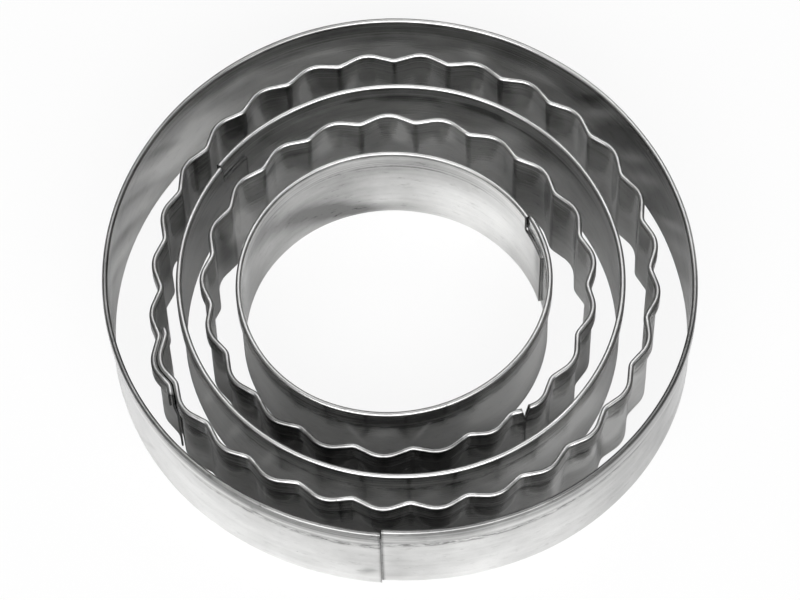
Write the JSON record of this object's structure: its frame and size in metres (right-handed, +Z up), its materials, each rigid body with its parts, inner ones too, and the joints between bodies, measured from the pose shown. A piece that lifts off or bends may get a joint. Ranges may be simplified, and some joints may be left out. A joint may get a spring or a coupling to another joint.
{
  "type": "biscuit cutter set",
  "caption": "Nested ring cutters of hemmed sheet steel for biscuits and pastry, plain and fluted by turns, standing on their cutting edges.",
  "frame": {"origin": "centre of the large plain ring, on the plane of the cutting edges", "axes": "+Z up from the cutting edges to the folded rims; +X to the right and +Y to the back as the set is seen in its picture"},
  "size_m": [0.0799, 0.0799, 0.015],
  "materials": {
    "bright_steel": "bright rolled sheet, faint rolling lines"
  },
  "bodies": {
    "large_plain_ring": {"large_plain_ring": "bright_steel"},
    "large_fluted_ring": {"large_fluted_ring": "bright_steel"},
    "medium_plain_ring": {"medium_plain_ring": "bright_steel"},
    "small_fluted_ring": {"small_fluted_ring": "bright_steel"},
    "small_plain_ring": {"small_plain_ring": "bright_steel"}
  },
  "joints": [
    {"name": "large_fluted_lift", "type": "slide", "parent": "large_plain_ring", "child": "large_fluted_ring", "axis": [0, 0, 1], "range_m": [0, 0.02]},
    {"name": "medium_plain_lift", "type": "slide", "parent": "large_plain_ring", "child": "medium_plain_ring", "axis": [0, 0, 1], "range_m": [0, 0.04]},
    {"name": "small_fluted_lift", "type": "slide", "parent": "large_plain_ring", "child": "small_fluted_ring", "axis": [0, 0, 1], "range_m": [0, 0.06]},
    {"name": "small_plain_lift", "type": "slide", "parent": "large_plain_ring", "child": "small_plain_ring", "axis": [0, 0, 1], "range_m": [0, 0.08]}
  ]
}
